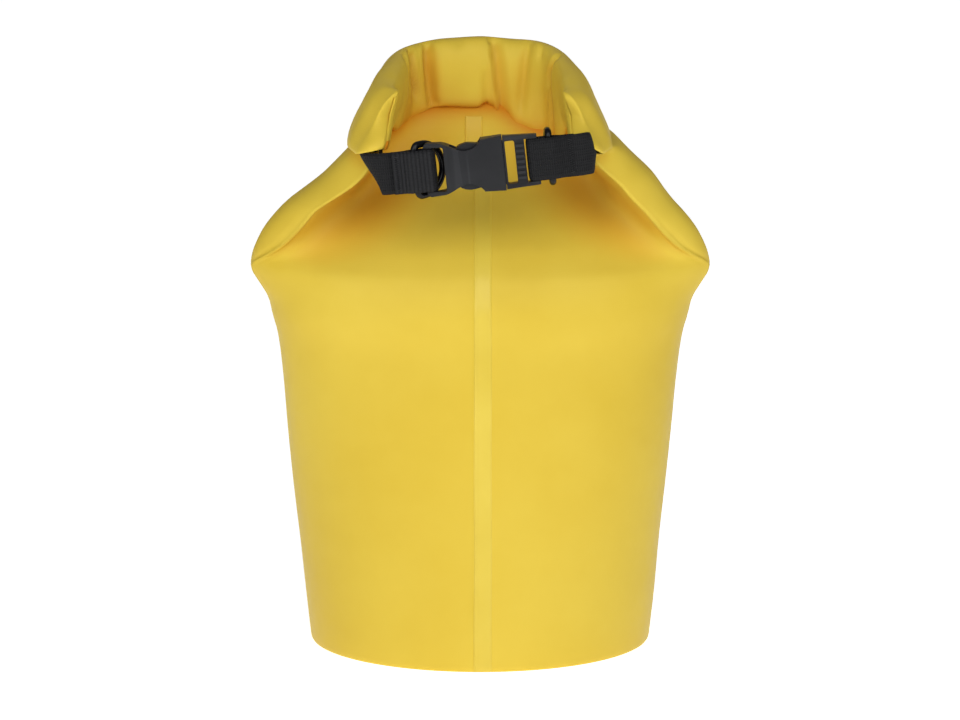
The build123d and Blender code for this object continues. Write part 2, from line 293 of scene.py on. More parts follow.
def moulded_plastic(name, dark, light, rough, grain, highlight_reach):
    """Black acetal: fine spark-eroded grain, faint flow marks and painted highlights on its sharp
    edges.
    """
    n = Nodes(name)
    flow = n.noise(60.0, 3.0, 0.5)
    # painted highlight: sharp convex edges are turned paler
    edge = n.add("ShaderNodeNewGeometry").outputs["Pointiness"]
    painted_highlight_mask = n.ramp(edge, 0.0, highlight_reach, 0.505, 0.56)
    tone = n.blend(n.ramp(flow, 0.0, 1.0, 0.3, 0.7), dark, light)
    tone = n.blend(painted_highlight_mask, tone, (0.045, 0.046, 0.050, 1))
    fine = n.noise(2600.0, 2.0, 0.6)
    uneven = n.noise(420.0, 3.0, 0.6)
    gloss = n.ramp(uneven, rough - 0.05, rough + 0.07, 0.3, 0.7)
    n.shade({"Base Color": tone, "Roughness": gloss, "Specular IOR Level": 0.2,
             "Normal": n.bump(fine, 0.00002, grain)})
    return n.material


def stiffener_material():
    n = Nodes("stiffener_strip")
    lines = n.noise(90.0, 3.0, 0.5)
    tone = n.blend(lines, (0.52, 0.52, 0.50, 1), (0.64, 0.64, 0.61, 1))
    n.shade({"Base Color": tone, "Roughness": n.ramp(lines, 0.45, 0.6),
             "Normal": n.bump(lines, 0.0001, 0.3)})
    return n.material


FABRIC = bag_fabric()
WELD = weld_fabric()
# the last number is the colour of the painted highlight on the thread crests
WEAVE_FINE = webbing_weave("webbing_fine_weave", math.pi / 1.25, math.pi / 1.6, 0.00040, 0.008)
WEAVE_RIB = webbing_weave("webbing_ribbed_face", math.pi / 2.35, math.pi / 0.9, 0.00030, 0.015)
THREAD = thread_material()
BUCKLE_PLASTIC = moulded_plastic(
    "buckle_acetal", (0.0060, 0.0064, 0.0076, 1), (0.0090, 0.0094, 0.0110, 1), 0.40, 0.35, 0.30)
RING_PLASTIC = moulded_plastic(
    "ring_acetal", (0.0020, 0.0020, 0.0025, 1), (0.0045, 0.0045, 0.0055, 1), 0.20, 0.1, 0.15)
STIFFENER = stiffener_material()

# ---- Bag skin: one continuous sheet. Every station is a closed outline of control points in a
# slice of the tube. The right half runs crease, outer edge, two shoulders, back middle,
# then from the crease inwards over the valley and two front points to the front middle.
BACK_ANGLES = (-13.0, 8.0, 34.0, 62.0, 90.0)
FRONT_ANGLES = (-32.0, -51.0, -70.5, -90.0)


def round_station(half_width, middle, front, back):
    """Control points of a rounded slice: nine points from the crease on."""
    points = []
    for angle in BACK_ANGLES + FRONT_ANGLES:
        turn = math.radians(angle)
        depth = back - middle if angle > 0 else middle - front
        points.append(Vector((half_width * math.cos(turn), middle + depth * math.sin(turn))))
    return points


def drawn_station(*pairs):
    return [Vector(pair) for pair in pairs]


# height, how sharp the crease is, control points
STATIONS = [
    (0.0, 0.0, round_station(100.0, 0.0, -100.0, 100.0)),
    (30.0, 0.0, round_station(103.5, 0.0, -97.5, 96.5)),
    (60.0, 0.0, round_station(106.5, -1.0, -94.5, 92.5)),
    (95.0, 0.0, round_station(110.5, -2.0, -91.0, 88.0)),
    (130.0, 0.0, round_station(114.0, -4.0, -87.5, 84.0)),
    (160.0, 0.0, round_station(116.6, -6.0, -84.5, 80.0)),
    (185.0, 0.0, round_station(119.8, -8.0, -81.0, 76.5)),
    (200.0, 0.1, drawn_station(
        (123.0, -17.5), (122.4, -1.0), (101.5, 37.0), (55.0, 65.5), (0, 74.5),
        (111.5, -40.5), (85.0, -61.0), (45.0, -75.5), (0, -79.5))),
    (210.0, 0.3, drawn_station(
        (126.0, -18.0), (124.6, -3.0), (102.5, 35.0), (55.0, 63.5), (0, 72.5),
        (113.5, -39.0), (86.0, -60.0), (45.0, -74.3), (0, -78.4))),
    (219.0, 0.7, drawn_station(
        (131.2, -19.0), (129.2, -7.0), (103.5, 31.0), (55.0, 60.5), (0, 70.0),
        (116.5, -37.0), (87.0, -57.8), (45.5, -72.0), (0, -76.0))),
    (225.0, 1.0, drawn_station(
        (134.6, -20.0), (132.8, -10.0), (104.5, 29.0), (55.0, 58.8), (0, 68.6),
        (119.0, -36.0), (87.4, -55.8), (45.5, -69.6), (0, -73.6))),
    (230.0, 1.0, drawn_station(
        (134.4, -22.5), (135.0, -13.5), (105.0, 27.0), (55.0, 57.3), (0, 67.2),
        (118.5, -36.0), (87.3, -53.2), (45.5, -67.0), (0, -71.0))),
    (236.5, 1.0, drawn_station(
        (125.5, -31.5), (134.2, -18.0), (104.5, 24.0), (54.5, 55.0), (0, 65.5),
        (111.0, -37.0), (84.0, -47.6), (44.5, -61.6), (0, -66.0))),
    (243.5, 1.0, drawn_station(
        (116.5, -38.5), (131.5, -20.0), (103.0, 22.0), (54.0, 53.0), (0, 64.0),
        (104.0, -37.0), (80.0, -41.4), (43.5, -54.6), (0, -59.2))),
    (251.0, 1.0, drawn_station(
        (109.5, -44.5), (127.5, -22.0), (100.0, 20.0), (53.0, 51.0), (0, 62.0),
        (97.0, -35.5), (76.0, -34.4), (42.0, -45.4), (0, -50.6))),
    (259.0, 1.0, drawn_station(
        (103.0, -49.5), (121.5, -25.0), (96.0, 18.5), (51.5, 49.0), (0, 60.0),
        (90.5, -33.5), (71.5, -26.0), (40.0, -35.4), (0, -40.8))),
    (267.0, 1.0, drawn_station(
        (97.0, -53.5), (114.0, -28.5), (91.0, 17.0), (50.0, 47.0), (0, 57.5),
        (84.0, -32.0), (67.0, -17.5), (38.0, -24.5), (0, -29.5))),
    (275.5, 1.0, drawn_station(
        (87.5, -58.5), (105.0, -33.0), (84.5, 15.0), (47.5, 44.5), (0, 54.5),
        (76.0, -31.0), (62.0, -9.5), (36.0, -12.8), (0, -17.5))),
    (285.0, 1.0, drawn_station(
        (77.5, -63.0), (95.5, -38.0), (77.0, 12.5), (44.5, 41.0), (0, 50.5),
        (67.5, -33.5), (57.0, -4.0), (34.0, -0.5), (0, -4.5))),
    (294.0, 1.0, drawn_station(
        (69.0, -65.5), (86.5, -43.5), (70.0, 9.0), (42.0, 36.5), (0, 45.5),
        (61.0, -34.0), (53.5, -1.5), (33.0, 9.5), (0, 6.0))),
    (304.0, 1.0, drawn_station(
        (61.0, -66.8), (77.0, -50.0), (64.5, 4.5), (41.0, 32.0), (0, 38.5),
        (56.0, -39.0), (50.5, -2.0), (33.0, 15.5), (0, 14.0))),
]
HEIGHTS = [station[0] for station in STATIONS]
BACK_STEPS = (12, 15, 17, 20)
FRONT_STEPS = (9, 8, 8, 9)
LEAN_START = 229.0         # height where the rows begin to lean back
LEAN_TOP = 0.095           # rise of a row per millimetre of depth at the neck


def station_at(height):
    """Sharpness and the nine right-hand control points at any height."""
    sharp = spline_sample(HEIGHTS, [Vector((s[1], 0)) for s in STATIONS], height).x
    points = [spline_sample(HEIGHTS, [s[2][i] for s in STATIONS], height) for i in range(9)]
    return min(1.0, max(0.0, sharp)), points


def mirrored(point):
    return Vector((-point.x, point.y))


def ring_knots(controls):
    """Rising knots round a closed loop of points, by the square root of the chord."""
    knots = [0.0]
    for a, b in zip(controls, controls[1:]):
        knots.append(knots[-1] + max(0.05, (b - a).length) ** 0.5)
    return knots


def loop_outline(sharp, right):
    """Points round one slice, from the right crease over the back to the left and home."""
    back = right[:5]
    front = [right[0]] + right[5:]
    loop = back + [mirrored(p) for p in back[3::-1]]
    loop += [mirrored(p) for p in front[1:]] + front[3:0:-1]
    count = len(loop)
    closed = loop + [loop[0]]
    knots = ring_knots(closed)
    steps = list(BACK_STEPS) + list(BACK_STEPS[::-1]) + list(FRONT_STEPS) + list(FRONT_STEPS[::-1])
    corners = (0, 8)

    def smooth_slope(i):
        before = closed[i - 1] if i > 0 else loop[-1]
        after = closed[i + 1] if i < count else loop[1]
        gap_before = knots[i] - knots[i - 1] if i > 0 else knots[-1] - knots[-2]
        gap_after = knots[i + 1] - knots[i] if i < count else knots[1]
        left_slope = (closed[i] - before) / gap_before
        right_slope = (after - closed[i]) / gap_after
        return (left_slope * gap_after + right_slope * gap_before) / (gap_before + gap_after)

    points = []
    for i in range(count):
        gap = knots[i + 1] - knots[i]
        chord = (closed[i + 1] - closed[i]) / gap
        start = smooth_slope(i)
        end = smooth_slope(i + 1)
        if i in corners:
            own = chord * 1.5 - end * 0.5
            start = start.lerp(own, sharp)
        if (i + 1) % count in corners:
            own = chord * 1.5 - start * 0.5
            end = end.lerp(own, sharp)
        for step in range(steps[i]):
            points.append(hermite(closed[i], start, closed[i + 1], end, gap, step / steps[i]))
    return points


BACK_COUNT = 2 * sum(BACK_STEPS)
FRONT_COUNT = 2 * sum(FRONT_STEPS)
LOOP_COUNT = BACK_COUNT + FRONT_COUNT
CREASE_COLUMNS = (0, BACK_COUNT)


def tube_row(height):
    """One row of the tube in space, leaning back more and more above the wings."""
    sharp, right = station_at(height)
    lean = LEAN_TOP * smoothstep(LEAN_START, STATIONS[-1][0] + 6.0, height)
    crease_y = right[0].y
    return [Vector((p.x, p.y, height + lean * (p.y - crease_y))) for p in loop_outline(sharp, right)]


# ---- the roll: the back panel goes on over the top and down the front
ROLL_LEAN = math.tan(math.radians(5.6))   # the roll rises towards the back
ROLL_LEVEL = 331.0
# the right half of the roll's middle line from its end to the back, and its outward side
ROLL_MIDDLE = [Vector(p) for p in (
    (53.0, -61.0), (58.0, -50.0), (54.5, -12.0), (41.5, 20.5), (0.0, 25.5))]
ROLL_OUTWARD = [Vector(p) for p in (
    (0.725, -0.69), (0.97, -0.24), (0.985, 0.17), (0.66, 0.75), (0.0, 1.0))]
# outward offset and height of the roll's section, from the back of the neck over the top
ROLL_SECTION = [
    (11.0, -20.5), (11.9, -14.0), (12.0, -5.0), (11.0, 6.0), (8.6, 14.5), (4.5, 19.6), (-0.5, 21.2),
    (-5.5, 19.2), (-9.0, 13.5), (-10.8, 5.0), (-11.4, -4.5), (-11.0, -13.0), (-9.2, -18.6),
    (-6.0, -20.2), (-2.5, -18.0), (-0.5, -13.5),
]
FLARE = (0.0038, 0.0058)   # how much the roll narrows above its middle and widens below it
END_THINNING = 0.68        # how much thinner the inner half of the roll is at its ends
SWELL = 6.0                # how far the outer layer stands off at the lower end of each arm
SWELL_PROGRESS = (1.0, 0.22, 0.0, 0.0, 0.0)   # share of the end's shape along the middle line


def place_on_roll(flat, height):
    """A point of the roll's plan, raised to its height. The arms droop towards their ends."""
    rise = height
    if height > 0:
        crown = 0.10 * bell(flat.x, 24.0)
        droop = 0.07 * smoothstep(24.0, 58.0, abs(flat.x))
        droop += 0.22 * smoothstep(-10.0, -70.0, flat.y)
        rise *= 1.0 + crown - droop
    flare = 1.0 - (FLARE[0] if height > 0 else FLARE[1]) * height
    return Vector((flat.x * flare, flat.y, ROLL_LEVEL + ROLL_LEAN * flat.y + rise))


def swelled(offset, height, progress):
    """Offset from the roll's middle line: swelled low outside and thinned inside at the ends."""
    if offset <= 0:
        return offset * (1.0 - END_THINNING * progress)
    return offset + SWELL * progress * smoothstep(4.0, -18.0, height) * min(1.0, offset / 8.0)


def roll_row(offset, height):
    """One row round the roll, from its right end over the back to its left end."""
    right = []
    for middle, outward, progress in zip(ROLL_MIDDLE, ROLL_OUTWARD, SWELL_PROGRESS):
        right.append(middle + outward * swelled(offset, height, progress))
    controls = right + [mirrored(p) for p in right[3::-1]]
    knots = ring_knots(controls)
    steps = list(BACK_STEPS) + list(BACK_STEPS[::-1])
    row = []
    for i, count in enumerate(steps):
        for step in range(count):
            t = mix(knots[i], knots[i + 1], step / count)
            row.append(spline_sample(knots, controls, t))
    row.append(controls[-1])
    return [place_on_roll(p, height) for p in row]


# Folds pressed into the inner face and the top of the roll. Positions are the distance
# along the roll from its middle (negative to the left) and the place on its section,
# 0 at the top of the roll and 1 at its lip. Depth is inwards.
ROLL_FOLDS = [
    # start, end, width, depth
    ((-58.0, 0.05), (-50.0, 0.50), 3.4, 2.4),
    ((40.0, 0.02), (38.0, 0.32), 2.2, 1.8),
    ((4.0, 0.55), (5.0, 1.0), 2.4, 2.2),
    ((-16.0, 0.02), (-13.0, 0.22), 3.0, 1.2),
]
ROLL_RIDGES = [
    ((-24.0, 0.10), (-23.0, 0.60), 3.4, 1.0),
    ((-9.0, 0.30), (-6.0, 0.70), 12.0, 2.4),
    ((38.0, 0.14), (30.0, 0.85), 5.5, 1.8),
]
# folds with unlike slopes on their left and right: start, end, both widths, depth
ROLL_FACETS = [
    ((5.0, 0.0), (13.0, 1.0), 1.8, 9.5, 5.2),
    ((29.5, 0.0), (23.0, 0.75), 2.0, 5.5, 2.2),
    ((-33.5, 0.0), (-29.5, 0.92), 2.0, 6.5, 4.6),
    ((-46.0, 0.02), (-38.5, 0.66), 6.5, 2.2, 4.8),
    ((61.0, 0.08), (46.0, 0.52), 2.4, 6.5, 4.2),
    ((50.5, 0.42), (49.5, 1.0), 2.0, 6.0, 3.4),
]
SECTION_SCALE = 46.0       # length of the inner face from the top of the roll to its lip


def fold_strength(position, place, fold):
    """How much a fold acts at a point of the roll."""
    (start_along, start_place), (end_along, end_place), width, depth = fold
    start = Vector((start_along, start_place * SECTION_SCALE))
    end = Vector((end_along, end_place * SECTION_SCALE))
    here = Vector((position, place * SECTION_SCALE))
    run = end - start
    t = min(1.0, max(0.0, (here - start).dot(run) / run.length_squared))
    distance = (here - start - run * t).length
    return depth * bell(distance, width)


def facet_strength(position, place, facet):
    """How much a facet acts: it slopes in over its left width and out over its right width."""
    (start_along, start_place), (end_along, end_place), left_width, right_width, depth = facet
    t = (place - start_place) / (end_place - start_place)
    inside = smoothstep(-0.12, 0.10, t) * fade(0.95, 1.15, t)
    distance = position - mix(start_along, end_along, min(1.0, max(0.0, t)))
    if distance < 0:
        return depth * inside * smoothstep(-left_width, 0.0, distance)
    return depth * inside * fade(0.0, right_width, distance)


# heights of the tube's rows: close at the bottom edge and over the wings
ROW_HEIGHTS = [0.0, 0.4, 1.2, 3.0, 8.0]
ROW_HEIGHTS += [14.0 + 8.0 * i for i in range(21)]
ROW_HEIGHTS += [180.0 + 5.0 * i for i in range(6)]
ROW_HEIGHTS += [209.0 + 2.4 * i for i in range(26)]
ROW_HEIGHTS += [274.0 + 3.0 * i for i in range(11)]
BOTTOM_INSET = {0.0: 0.013, 0.4: 0.0055, 1.2: 0.0012}   # rounding of the bottom edge, by height
HEM_REACH = 0.972          # the sheet turns in under the bottom to this share of its radius
HEM_HEIGHT = 0.15
PLACES_PER_POINT = 4       # rows of the roll for each point of its drawn section


def build_skin_points():
    """All rows of the skin: closed rows up to the neck, then the open rows of the roll."""
    tube = []
    for height in ROW_HEIGHTS:
        row = tube_row(height)
        if height in BOTTOM_INSET:
            kept = 1 - BOTTOM_INSET[height]
            row = [Vector((p.x * kept, p.y * kept, p.z)) for p in row]
        tube.append(row)
    hem = [Vector((p.x * HEM_REACH, p.y * HEM_REACH, HEM_HEIGHT)) for p in tube[0]]
    tube.insert(0, hem)
    roll = []
    knots = list(range(len(ROLL_SECTION)))
    section = [Vector(p) for p in ROLL_SECTION]
    for i in range(1, PLACES_PER_POINT * (len(section) - 1) + 1):
        place = i / PLACES_PER_POINT
        offset, height = spline_sample(knots, section, place)
        row = roll_row(offset, height)
        right_nose = [nose_point(1, offset, height, step) for step in range(NOSE_STEPS, 0, -1)]
        left_nose = [nose_point(-1, offset, height, step) for step in range(1, NOSE_STEPS + 1)]
        roll.append((place, right_nose + row + left_nose))
    return tube, roll


def row_lengths(row):
    """Distance of each point of a row from the row's middle, negative to the left."""
    total = [0.0]
    for a, b in zip(row, row[1:]):
        total.append(total[-1] + (b - a).length)
    return [total[-1] / 2 - value for value in total]


def surface_normals(rows, closed):
    """Outward directions on a grid of points."""
    count = len(rows[0])
    normals = []
    for r, row in enumerate(rows):
        up_row = rows[min(r + 1, len(rows) - 1)]
        down_row = rows[max(r - 1, 0)]
        line = []
        for c in range(count):
            after = row[(c + 1) % count] if closed else row[min(c + 1, count - 1)]
            before = row[c - 1] if closed or c > 0 else row[0]
            normal = (after - before).cross(up_row[c] - down_row[c])
            line.append(normal.normalized() if normal.length > 1e-9 else Vector((0, 0, 1)))
        normals.append(line)
    return normals


NOSE_STEPS = 9
NOSE_MIDDLE = 1.5          # the pinched end lies a little outside the roll's middle
NOSE_LENGTH = (2.5, 15.0)  # how far the end reaches at its top and at its bottom edge
NOSE_AHEAD = Vector((-0.30, -0.95)).normalized()
NOSE_LIFT = {1: 0.48, -1: 0.26}   # share of its depth that the lower edge rises by, by side
NOSE_SINK = 0.14           # share of its height that the upper edge sinks by


def nose_point(side, offset, height, step):
    """A point of the closed end of the roll: side is 1 on the right and -1 on the left."""
    turn = math.radians(90.0) * step / NOSE_STEPS
    low = smoothstep(6.0, -18.0, height)
    middle, outward = ROLL_MIDDLE[0], ROLL_OUTWARD[0]
    reach = mix(NOSE_LENGTH[0], NOSE_LENGTH[1], low)
    kept = math.cos(turn)
    middle_offset = NOSE_MIDDLE + 3.0 * low
    across = middle_offset + (swelled(offset, height, 1.0) - middle_offset) * kept
    flat = middle + outward * across + NOSE_AHEAD * (reach * math.sin(turn))
    if height < 0:
        rise = height * (1.0 - NOSE_LIFT[side] * math.sin(turn))
    else:
        rise = height * (1.0 - NOSE_SINK * math.sin(turn) ** 2)
    point = place_on_roll(flat, rise)
    return Vector((side * point.x, point.y, point.z))


FACE_START = 5.5           # place on the section where the inner face's folds begin
FACE_LENGTH = 7.0          # places from there to the lip
LIP_PUSH = 4.2             # how far the lip stands out on the right
LUMP = 0.9                 # height of the roll's slow unevenness
LIP_LIFT = 3.2             # how far the whole lip is raised
NOTCH = 3.0                # how much more it is raised at the notch near its middle
RIGHT_DROPS = (8.5, 7.0)   # how far it hangs right of the middle, and again further out
LEFT_DROP = 8.5
END_SAG = {-1: 7.0, 1: 3.0}        # how far the back of each end sags, by side
END_SHIFT = {-1: -7.0, 1: 2.5}     # and how far it leans along X


def lip_rise(position, face):
    """How far the lower part of the inner face is raised, by its distance along the roll."""
    lower = smoothstep(0.35, 1.0, face) * fade(60.0, 76.0, abs(position))
    notch = bell(position - 2.5, 2.4) * smoothstep(0.7, 1.0, face)
    drop = RIGHT_DROPS[0] * smoothstep(6.5, 14.0, position)
    drop += RIGHT_DROPS[1] * smoothstep(18.0, 48.0, position)
    drop += LEFT_DROP * smoothstep(-26.0, -46.0, position)
    return (LIP_LIFT + NOTCH * notch) * lower - drop * lower


def fold_roll(roll):
    """Press folds and facets into the roll's rows."""
    rows = [row for _, row in roll]
    normals = surface_normals(rows, closed=False)
    folded = []
    for (place, row), line in zip(roll, normals):
        positions = row_lengths(row)
        face = (place - FACE_START) / FACE_LENGTH
        new_row = []
        for point, normal, position in zip(row, line, positions):
            push = 0.0
            for fold in ROLL_FOLDS:
                push -= fold_strength(position, face, fold)
            for facet in ROLL_FACETS:
                push -= facet_strength(position, face, facet)
            for ridge in ROLL_RIDGES:
                push += fold_strength(position, face, ridge)
            push *= smoothstep(0.0, 0.22, face) * fade(0.86, 1.08, face)
            right_lip = smoothstep(9.0, 20.0, position) * fade(52.0, 66.0, position)
            push += LIP_PUSH * right_lip * smoothstep(0.6, 1.0, face)
            push += LUMP * noise.noise(Vector((position * 0.045, face * 2.2, 3.7)))
            moved = point + normal * push
            along = abs(position)
            end = smoothstep(44.0, 64.0, along) * fade(66.0, 82.0, along)
            end *= fade(0.0, 2.6, place)
            side = -1 if position < 0 else 1
            moved.z += lip_rise(position, face) - END_SAG[side] * end
            moved.x += END_SHIFT[side] * end
            new_row.append(moved)
        folded.append(new_row)
    return folded


WELT_REACH = 7             # columns moved on each side of a crease
WELT_HEIGHT = 0.9
GROOVE_DEPTH = 0.8
GROOVE_AWAY = 4.0          # how far the groove lies from the crease


def crease_welt(tube):
    """Pinch a thin welt along the side creases, with a shallow groove beside it."""
    normals = surface_normals(tube, closed=True)
    for r, row in enumerate(tube):
        height = row[0].z
        strength = smoothstep(228.0, 238.0, height)
        strength *= 1.0 - 0.75 * smoothstep(252.0, 275.0, height)
        if strength <= 0.0:
            continue
        for column in CREASE_COLUMNS:
            crease = row[column]
            for step in range(-WELT_REACH, WELT_REACH + 1):
                c = (column + step) % LOOP_COUNT
                away = (row[c] - crease).length
                ridge = WELT_HEIGHT * bell(away, 1.5)
                groove = GROOVE_DEPTH * bell(away - GROOVE_AWAY, 1.8)
                tube[r][c] = row[c] + normals[r][c] * (strength * (ridge - groove))


UNEVENNESS = 1.3           # height of the tube's slow waves
DENT_HEIGHT = 204.0        # where the dent lies under each wing
DENT_DEPTH = 0.6
NECK_SHIFT = 4.5           # the gathered neck stands a little to the right of the roll


def soften(tube):
    """Slow unevenness of a filled bag, the little dent under each wing, and the neck's shift."""
    normals = surface_normals(tube, closed=True)
    for r, row in enumerate(tube):
        for c, point in enumerate(row):
            height = point.z
            calm = smoothstep(4.0, 60.0, height) * fade(285.0, 304.0, height)
            wave = noise.noise(Vector((point.x * 0.013, point.y * 0.013, height * 0.009 + 5.0)))
            push = UNEVENNESS * wave * calm
            side = abs(point.x)
            dent = bell(height - DENT_HEIGHT, 5.5) * smoothstep(112.0, 122.0, side)
            push -= DENT_DEPTH * dent
            neck = smoothstep(266.0, 288.0, height)
            point.x += NECK_SHIFT * smoothstep(50.0, 80.0, side) * neck
            row[c] = point + normals[r][c] * push


# the front panel's rows behind the lip: how far each rises, and per millimetre of rise
# how far it leans back and how much it narrows
HIDDEN_RISE = (3.0, 7.0, 12.0)
HIDDEN_LEAN = 0.8
HIDDEN_NARROWING = 0.002


def build_skin():
    """The whole bag: tube, neck and roll as one sheet, with closed roll ends."""
    tube, roll = build_skin_points()
    soften(tube)
    crease_welt(tube)
    folded = fold_roll(roll)
    points = [p for row in tube for p in row]
    faces = grid_faces(len(tube), LOOP_COUNT, closed=True)
    neck = (len(tube) - 1) * LOOP_COUNT
    columns = BACK_COUNT + 1 + 2 * NOSE_STEPS
    first = len(points)
    for row in folded:
        points.extend(row)
    for c in range(BACK_COUNT):
        a = first + NOSE_STEPS + c
        faces.append((neck + c, neck + c + 1, a + 1, a))
    faces += grid_faces(len(folded), columns, start=first)
    # the front panel goes on up behind the lip
    start = len(points)
    top = tube[-1]
    front = [top[c % LOOP_COUNT] for c in range(BACK_COUNT, LOOP_COUNT + 1)]
    for rise in HIDDEN_RISE:
        kept = 1 - HIDDEN_NARROWING * rise
        back = HIDDEN_LEAN * rise
        points.extend(Vector((p.x * kept, p.y + back, p.z + rise)) for p in front)
    count = len(front)
    for c in range(count - 1):
        a = neck + (BACK_COUNT + c) % LOOP_COUNT
        b = neck + (BACK_COUNT + c + 1) % LOOP_COUNT
        faces.append((a, b, start + c + 1, start + c))
    faces += grid_faces(len(HIDDEN_RISE), count, start=start)
    return new_mesh("bag_skin", points, faces, [FABRIC])


def ray_fan(count):
    """Evenly spread directions over a half sphere round +Z, denser near the axis."""
    fan = []
    for i in range(count):
        rise = math.sqrt(1.0 - (i + 0.5) / count)
        turn = i * math.pi * (3.0 - math.sqrt(5.0))
        flat = math.sqrt(1.0 - rise * rise)
        fan.append(Vector((flat * math.cos(turn), flat * math.sin(turn), rise)))
    return fan


# how the painted shade in the folds is measured
FOLD_RAYS = 28             # rays cast from each point of the skin
FOLD_REACH = 90 * MM       # how far they look
SOFTENING = 5              # rounds of smoothing of the measured depth


def surface_tree(mesh):
    """A search tree of a mesh's faces."""
    points = [v.co.copy() for v in mesh.vertices]
    return BVHTree.FromPolygons(points, [tuple(p.vertices) for p in mesh.polygons])


def measure_painted_shade(skin):
    """Store painted shade for each point by how deep it lies in a fold: 0 in the open, 1 when closed
    in all round.
    """
    mesh = skin.data
    tree = surface_tree(mesh)
    fan = ray_fan(FOLD_RAYS)
    shade_amounts = []
    for vertex in mesh.vertices:
        normal = vertex.normal
        start = vertex.co + normal * 0.4 * MM
        turn = Vector((0, 0, 1)).rotation_difference(normal)
        closed = 0.0
        for ray in fan:
            hit, _, _, distance = tree.ray_cast(start, turn @ ray, FOLD_REACH)
            if hit is not None:
                closed += 1.0 - distance / FOLD_REACH
        shade_amounts.append(closed / len(fan))
    for _ in range(SOFTENING):
        totals = list(shade_amounts)
        counts = [1] * len(shade_amounts)
        for edge in mesh.edges:
            a, b = edge.vertices
            totals[a] += shade_amounts[b]
            totals[b] += shade_amounts[a]
            counts[a] += 1
            counts[b] += 1
        shade_amounts = [total / count for total, count in zip(totals, counts)]
    layer = mesh.attributes.new("painted_shade_amount", "FLOAT", "POINT")
    for value, item in zip(shade_amounts, layer.data):
        item.value = value


def finish_skin(skin):
    """Give the sheet its thickness."""
    thick = skin.modifiers.new("thickness", "SOLIDIFY")
    thick.thickness = 0.8 * MM
    thick.offset = -1.0
    thick.use_even_offset = False


def core_strip(name, offset, half_thickness, half_height, material):
    """A flat strip inside the roll, following it from end to end."""
    rows = [roll_row(offset + half_thickness * a, half_height * b) for a, b in CORNERS]
    count = len(rows[0])
    points = [p for row in rows for p in row]
    faces = []
    for k in range(4):
        for c in range(count - 1):
            below = k * count
            above = (k + 1) % 4 * count
            faces.append((below + c, below + c + 1, above + c + 1, above + c))
    faces.append((0, count, 2 * count, 3 * count))
    faces.append((4 * count - 1, 3 * count - 1, 2 * count - 1, count - 1))
    strip = new_mesh(name, points, faces, [material])
    for polygon in strip.data.polygons:
        polygon.use_smooth = False
    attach(strip, "bag")
    return strip


SKIN = build_skin()
# painted shade: how deep each point lies in a fold, for the orange tint
measure_painted_shade(SKIN)
finish_skin(SKIN)
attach(SKIN, "bag")
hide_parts("bag_body", "rolled_mouth")


# ---- Front weld: the lapped band laid on the skin, with a raised bead along each edge
def skin_tree():
    """A search tree of the skin as it is rendered, with its thickness."""
    depsgraph = bpy.context.evaluated_depsgraph_get()
    evaluated = SKIN.evaluated_get(depsgraph)
    tree = surface_tree(evaluated.to_mesh())
    evaluated.to_mesh_clear()
    return tree


# the band's section: X and height above the skin
SEAM_PROFILE = [
    (-3.9, -0.3), (-3.6, 0.15), (-3.2, 0.75), (-2.7, 0.85), (-2.2, 0.55), (-1.0, 0.42), (1.5, 0.40),
    (3.8, 0.44), (4.8, 0.62), (5.6, 0.66), (6.4, 0.40), (6.9, 0.05), (7.2, -0.3)]
SEAM_BOTTOM = 0.8
SEAM_TOP = 313.0
SEAM_STEP = 2.5
SEAM_SHIFT = 5.2           # the gathered neck pulls the seam to the left behind the strap
# painted shade on the band's top, standing in for the roll's shadow
SEAM_PAINTED_SHADE = 0.26           # share of the fold tint at the top, where the roll shades the seam


def front_seam():
    """The band, laid on the skin by rays from the front."""
    tree = skin_tree()
    points = []
    rows = 0
    height = SEAM_BOTTOM
    while height < SEAM_TOP:
        row = []
        for x, rise in SEAM_PROFILE:
            wander = 0.25 * noise.noise(Vector((height * 0.02, x * 0.1, 9.0)))
            wander -= SEAM_SHIFT * smoothstep(274.0, 296.0, height)
            start = Vector((x + wander, -160.0, height)) * MM
            hit, normal, _, _ = tree.ray_cast(start, STRAP_Y)
            if hit is None:
                row = None
                break
            if normal.y > 0:
                normal = -normal
            row.append(hit / MM + normal * rise)
        if row is None:
            break
        points.extend(row)
        rows += 1
        height += SEAM_STEP
    band = new_mesh("front_weld", points, grid_faces(rows, len(SEAM_PROFILE)), [WELD])
    # painted shade on the band, stronger towards the top where the roll overhangs it
    layer = band.data.attributes.new("painted_shade_amount", "FLOAT", "POINT")
    for vertex, item in zip(band.data.vertices, layer.data):
        item.value = SEAM_PAINTED_SHADE * smoothstep(286.0, 304.0, vertex.co.z / MM)
    return band


SEAM = front_seam()
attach(SEAM, "bag")
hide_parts("front_weld_seam")


# ---- Webbing: straps swept along their own routes, with real ribs on the folded face
def smooth_route(points, spacing):
    """Evenly spaced points on a smooth curve through given points (along, back)."""
    points = [Vector(p) for p in points]
    knots = ring_knots(points)
    fine = [spline_sample(knots, points, mix(knots[0], knots[-1], i / 1200)) for i in range(1201)]
    route = [fine[0]]
    travelled = 0.0
    for a, b in zip(fine, fine[1:]):
        travelled += (b - a).length
        if travelled >= spacing:
            route.append(b)
            travelled = 0.0
    return route


ACROSS = 13                # points across one face of a strap
RIB_HEIGHT = 0.42
RIB_SINK = 0.12            # how far the valleys between ribs lie below the plain face
NO_RIBS = (-2.0, -1.0)     # a range of lengths that no strap reaches


